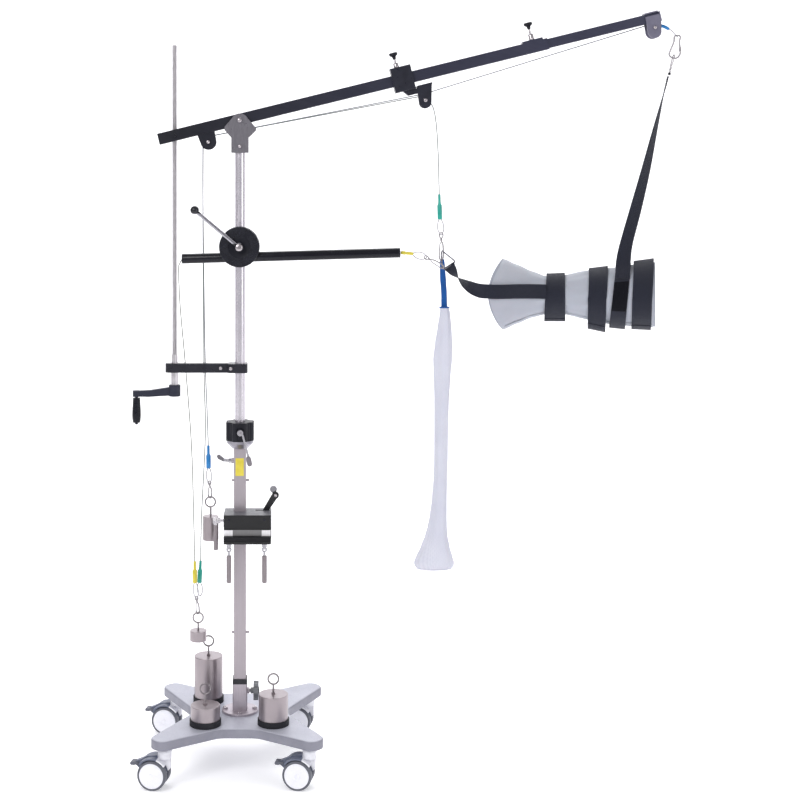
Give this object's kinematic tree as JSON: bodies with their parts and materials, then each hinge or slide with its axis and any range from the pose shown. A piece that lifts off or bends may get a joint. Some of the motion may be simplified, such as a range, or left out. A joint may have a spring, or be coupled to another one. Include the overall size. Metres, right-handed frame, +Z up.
{
  "type": "mobile arm traction stand",
  "caption": "Mobile traction stand: castered base, telescopic mast with a screw-tilted boom, line sheaves, hanging weights, rail clamp, forearm sleeve sling and hand net.",
  "frame": {"origin": "middle of the flat round pad under the base plate, on the pole axis, 100 mm above the floor", "axes": "+X along the boom towards its tip, +Y to the rear, +Z up"},
  "size_m": [1.4542, 0.4487, 1.9849],
  "materials": {
    "base_paint": "satin",
    "rubber_black": "matte",
    "steel": "brushed",
    "pole_steel": "polished",
    "weight_steel": "brushed",
    "black_plastic": "satin",
    "black_paint": "satin",
    "slate_plastic": "satin",
    "wheel_plastic": "satin",
    "grey_plastic": "satin",
    "boom_coat": "satin",
    "violet_paint": "satin",
    "sheave_plastic": "satin",
    "rope_blue": "woven",
    "rope_green": "woven",
    "rope_yellow": "woven",
    "sleeve_fabric": "woven",
    "strap_fabric": "woven",
    "net_fabric": "knit"
  },
  "bodies": {
    "stand": {"base_plate": "base_paint", "weight_cups": "rubber_black", "pole_socket": "steel", "lower_pole": "pole_steel"},
    "socket_knob": {"socket_knob": "black_plastic"},
    "caster_front_left": {"caster_hood_front_left": "slate_plastic"},
    "wheels_front_left": {"caster_wheels_front_left": "wheel_plastic"},
    "brake_front_left": {"caster_brake_front_left": "slate_plastic"},
    "caster_front_right": {"caster_hood_front_right": "slate_plastic"},
    "wheels_front_right": {"caster_wheels_front_right": "wheel_plastic"},
    "brake_front_right": {"caster_brake_front_right": "slate_plastic"},
    "caster_rear_left": {"caster_hood_rear_left": "slate_plastic"},
    "wheels_rear_left": {"caster_wheels_rear_left": "wheel_plastic"},
    "brake_rear_left": {"caster_brake_rear_left": "slate_plastic"},
    "caster_rear_right": {"caster_hood_rear_right": "slate_plastic"},
    "wheels_rear_right": {"caster_wheels_rear_right": "wheel_plastic"},
    "brake_rear_right": {"caster_brake_rear_right": "slate_plastic"},
    "rail_clamp": {"rail_clamp_body": "black_paint"},
    "clamp_jaw": {"clamp_jaw": "black_paint"},
    "jaw_screw_left": {"jaw_screw_left": "steel"},
    "jaw_screw_right": {"jaw_screw_right": "steel"},
    "side_screw": {"side_screw": "steel"},
    "release_lever": {"release_lever": "grey_plastic"},
    "collet_nut": {"collet_nut": "black_plastic"},
    "collet_lever": {"collet_lever": "grey_plastic"},
    "side_lever": {"side_lever": "grey_plastic"},
    "bush": {"mast_bush": "steel"},
    "mast": {"mast_tube": "pole_steel", "screw_bracket": "black_paint", "mast_yoke": "black_paint"},
    "crank": {"leadscrew": "steel", "crank_arm": "black_paint"},
    "crank_grip": {"crank_grip": "black_plastic"},
    "lead_nut": {"lead_nut": "steel"},
    "boom": {"boom_tube": "boom_coat", "blue_cable": "rope_blue", "green_cable": "rope_green"},
    "rear_sheaves": {"rear_sheaves": "sheave_plastic"},
    "rear_drop": {"rear_lines": "rope_blue", "hung_weight_large": "weight_steel"},
    "extension": {"boom_extension": "boom_coat", "end_fork": "violet_paint"},
    "end_sheave": {"end_sheave": "sheave_plastic"},
    "sling": {"arm_sleeve": "sleeve_fabric", "sling_straps": "strap_fabric"},
    "extension_plunger": {"extension_plunger": "black_plastic"},
    "carriage": {"carriage_collar": "black_paint"},
    "mid_sheave": {"mid_sheave": "sheave_plastic"},
    "carriage_plunger": {"carriage_plunger": "black_plastic"},
    "net_drop": {"green_drop_line": "rope_green", "hand_net": "net_fabric"},
    "cross_clamp": {"cross_clamp": "black_paint"},
    "clamp_disc": {"clamp_disc": "black_paint"},
    "clamp_lever": {"clamp_lever": "black_plastic"},
    "cross_tube": {"cross_tube": "boom_coat"},
    "yellow_drop": {"yellow_line": "rope_yellow", "hung_weight_small": "weight_steel"},
    "weight_small": {"weight_small": "weight_steel"},
    "weight_medium": {"weight_medium": "weight_steel"},
    "weight_large": {"weight_large": "weight_steel"}
  },
  "joints": [
    {"name": "socket_knob_turn", "type": "hinge", "parent": "stand", "child": "socket_knob", "pos_m": [0.036, 0, 0.082], "axis": [1, 0, 0], "range_deg": [-360, 360]},
    {"name": "swivel_front_left", "type": "hinge", "parent": "stand", "child": "caster_front_left", "pos_m": [-0.183, -0.19, 0], "axis": [0, 0, 1], "continuous": true},
    {"name": "roll_front_left", "type": "hinge", "parent": "caster_front_left", "child": "wheels_front_left", "pos_m": [-0.21039, -0.18418, -0.0625], "axis": [0.2079, 0.9781, 0], "continuous": true},
    {"name": "brake_front_left_tilt", "type": "hinge", "parent": "caster_front_left", "child": "brake_front_left", "pos_m": [-0.25049, -0.17565, -0.039], "axis": [0.2079, 0.9781, 0], "range_deg": [-14, 0]},
    {"name": "swivel_front_right", "type": "hinge", "parent": "stand", "child": "caster_front_right", "pos_m": [0.183, -0.19, 0], "axis": [0, 0, 1], "continuous": true},
    {"name": "roll_front_right", "type": "hinge", "parent": "caster_front_right", "child": "wheels_front_right", "pos_m": [0.15561, -0.18418, -0.0625], "axis": [0.2079, 0.9781, 0], "continuous": true},
    {"name": "brake_front_right_tilt", "type": "hinge", "parent": "caster_front_right", "child": "brake_front_right", "pos_m": [0.11551, -0.17565, -0.039], "axis": [0.2079, 0.9781, 0], "range_deg": [-14, 0]},
    {"name": "swivel_rear_left", "type": "hinge", "parent": "stand", "child": "caster_rear_left", "pos_m": [-0.183, 0.19, 0], "axis": [0, 0, 1], "continuous": true},
    {"name": "roll_rear_left", "type": "hinge", "parent": "caster_rear_left", "child": "wheels_rear_left", "pos_m": [-0.21039, 0.19582, -0.0625], "axis": [0.2079, 0.9781, 0], "continuous": true},
    {"name": "brake_rear_left_tilt", "type": "hinge", "parent": "caster_rear_left", "child": "brake_rear_left", "pos_m": [-0.25049, 0.20435, -0.039], "axis": [0.2079, 0.9781, 0], "range_deg": [-14, 0]},
    {"name": "swivel_rear_right", "type": "hinge", "parent": "stand", "child": "caster_rear_right", "pos_m": [0.183, 0.19, 0], "axis": [0, 0, 1], "continuous": true},
    {"name": "roll_rear_right", "type": "hinge", "parent": "caster_rear_right", "child": "wheels_rear_right", "pos_m": [0.15561, 0.19582, -0.0625], "axis": [0.2079, 0.9781, 0], "continuous": true},
    {"name": "brake_rear_right_tilt", "type": "hinge", "parent": "caster_rear_right", "child": "brake_rear_right", "pos_m": [0.11551, 0.20435, -0.039], "axis": [0.2079, 0.9781, 0], "range_deg": [-14, 0]},
    {"name": "rail_clamp_slide", "type": "slide", "parent": "stand", "child": "rail_clamp", "axis": [0, 0, 1], "range_m": [-0.24, 0.07]},
    {"name": "clamp_jaw_lift", "type": "slide", "parent": "rail_clamp", "child": "clamp_jaw", "axis": [0, 0, 1], "range_m": [0, 0.0081]},
    {"name": "jaw_screw_left_turn", "type": "hinge", "parent": "rail_clamp", "child": "jaw_screw_left", "pos_m": [-0.027, -0.055, 0.45], "axis": [0, 0, 1], "range_deg": [0, 2304]},
    {"name": "jaw_screw_right_turn", "type": "hinge", "parent": "rail_clamp", "child": "jaw_screw_right", "pos_m": [0.066, -0.055, 0.45], "axis": [0, 0, 1], "range_deg": [0, 2304]},
    {"name": "side_screw_swing", "type": "hinge", "parent": "rail_clamp", "child": "side_screw", "pos_m": [-0.062, -0.04, 0.542], "axis": [1, 0, 0], "range_deg": [-180, 0]},
    {"name": "release_lever_tilt", "type": "hinge", "parent": "rail_clamp", "child": "release_lever", "pos_m": [0.056, 0, 0.546], "axis": [0, 1, 0], "range_deg": [-30, 4]},
    {"name": "collet_nut_turn", "type": "hinge", "parent": "stand", "child": "collet_nut", "pos_m": [0, 0, 0.77], "axis": [0, 0, 1], "range_deg": [-30, 90]},
    {"name": "collet_lever_swing", "type": "hinge", "parent": "collet_nut", "child": "collet_lever", "pos_m": [0.002, -0.043, 0.772], "axis": [0, 1, 0], "range_deg": [-60, 20]},
    {"name": "side_lever_turn", "type": "hinge", "parent": "stand", "child": "side_lever", "pos_m": [-0.03, 0, 0.692], "axis": [1, 0, 0], "range_deg": [-90, 90]},
    {"name": "mast_swivel", "type": "hinge", "parent": "stand", "child": "bush", "pos_m": [0, 0, 0.76], "axis": [0, 0, 1], "range_deg": [-90, 12]},
    {"name": "mast_slide", "type": "slide", "parent": "bush", "child": "mast", "axis": [0, 0, 1], "range_m": [-0.06, 0.3]},
    {"name": "crank_turn", "type": "hinge", "parent": "mast", "child": "crank", "pos_m": [-0.1736, 0, 0.88], "axis": [0, 0, 1], "range_deg": [-5040, 3240], "deforming": ["rear_lines", "yellow_line"]},
    {"name": "crank_grip_spin", "type": "hinge", "parent": "crank", "child": "crank_grip", "pos_m": [-0.2746, 0, 0.83], "axis": [0, 0, 1], "continuous": true},
    {"name": "lead_nut_travel", "type": "slide", "parent": "mast", "child": "lead_nut", "axis": [0, 0, 1], "range_m": [-0.037, 0.057]},
    {"name": "boom_tilt", "type": "hinge", "parent": "mast", "child": "boom", "pos_m": [0, 0, 1.597], "axis": [0, -1, 0], "range_deg": [-17.5, 11.5]},
    {"name": "rear_sheave_spin", "type": "hinge", "parent": "boom", "child": "rear_sheaves", "pos_m": [-0.0835, 0, 1.5365], "axis": [0, 1, 0], "continuous": true},
    {"name": "rear_drop_swing", "type": "hinge", "parent": "boom", "child": "rear_drop", "pos_m": [-0.0835, 0, 1.5365], "axis": [0, -1, 0], "range_deg": [-11.5, 17.5]},
    {"name": "extension_slide", "type": "slide", "parent": "boom", "child": "extension", "axis": [0.9711, 0, 0.2385], "range_m": [-0.09, 0.15], "deforming": ["blue_cable"]},
    {"name": "end_sheave_spin", "type": "hinge", "parent": "extension", "child": "end_sheave", "pos_m": [1.097, 0, 1.839], "axis": [0, 1, 0], "continuous": true},
    {"name": "sling_swing", "type": "hinge", "parent": "extension", "child": "sling", "pos_m": [1.097, 0, 1.839], "axis": [0, -1, 0], "range_deg": [-11.5, 17.5]},
    {"name": "extension_plunger_pull", "type": "slide", "parent": "boom", "child": "extension_plunger", "axis": [-0.2385, 0, 0.9711], "range_m": [0, 0.008]},
    {"name": "carriage_slide", "type": "slide", "parent": "boom", "child": "carriage", "axis": [0.9711, 0, 0.2385], "range_m": [-0.25, 0.06], "deforming": ["green_cable"]},
    {"name": "mid_sheave_spin", "type": "hinge", "parent": "carriage", "child": "mid_sheave", "pos_m": [0.491, 0, 1.647], "axis": [0, 1, 0], "continuous": true},
    {"name": "carriage_plunger_pull", "type": "slide", "parent": "carriage", "child": "carriage_plunger", "axis": [-0.2385, 0, 0.9711], "range_m": [0, 0.008]},
    {"name": "net_drop_swing", "type": "hinge", "parent": "carriage", "child": "net_drop", "pos_m": [0.491, 0, 1.647], "axis": [0, -1, 0], "range_deg": [-11.5, 17.5]},
    {"name": "cross_clamp_slide", "type": "slide", "parent": "mast", "child": "cross_clamp", "axis": [0, 0, 1], "range_m": [-0.05, 0.15]},
    {"name": "disc_tilt", "type": "hinge", "parent": "cross_clamp", "child": "clamp_disc", "pos_m": [0, -0.04, 1.261], "axis": [0, 1, 0], "range_deg": [-20, 20]},
    {"name": "clamp_lever_turn", "type": "hinge", "parent": "cross_clamp", "child": "clamp_lever", "pos_m": [0, -0.07, 1.261], "axis": [0, 1, 0], "range_deg": [-60, 60]},
    {"name": "cross_tube_slide", "type": "slide", "parent": "clamp_disc", "child": "cross_tube", "axis": [0.9996, 0, 0.0278], "range_m": [-0.1, 0.05]},
    {"name": "yellow_drop_swing", "type": "hinge", "parent": "cross_tube", "child": "yellow_drop", "pos_m": [-0.151, -0.038, 1.227], "axis": [0, 1, 0], "range_deg": [-20.5, 20.5]},
    {"name": "weight_small_lift", "type": "slide", "parent": "stand", "child": "weight_small", "axis": [0, 0, 1], "range_m": [0, 0.05]},
    {"name": "weight_medium_lift", "type": "slide", "parent": "stand", "child": "weight_medium", "axis": [0, 0, 1], "range_m": [0, 0.05]},
    {"name": "weight_large_lift", "type": "slide", "parent": "stand", "child": "weight_large", "axis": [0, 0, 1], "range_m": [0, 0.05]}
  ],
  "couplings": [
    {"joint": "jaw_screw_right_turn", "follows": "jaw_screw_left_turn", "ratio": 1},
    {"joint": "lead_nut_travel", "follows": "crank_turn", "m_per_rad": -0.00063662},
    {"joint": "boom_tilt", "follows": "crank_turn", "ratio": 0.0034044},
    {"joint": "rear_drop_swing", "follows": "crank_turn", "ratio": -0.0034044},
    {"joint": "net_drop_swing", "follows": "crank_turn", "ratio": -0.0034044},
    {"joint": "sling_swing", "follows": "crank_turn", "ratio": -0.0034044},
    {"joint": "yellow_drop_swing", "follows": "disc_tilt", "ratio": -1}
  ]
}
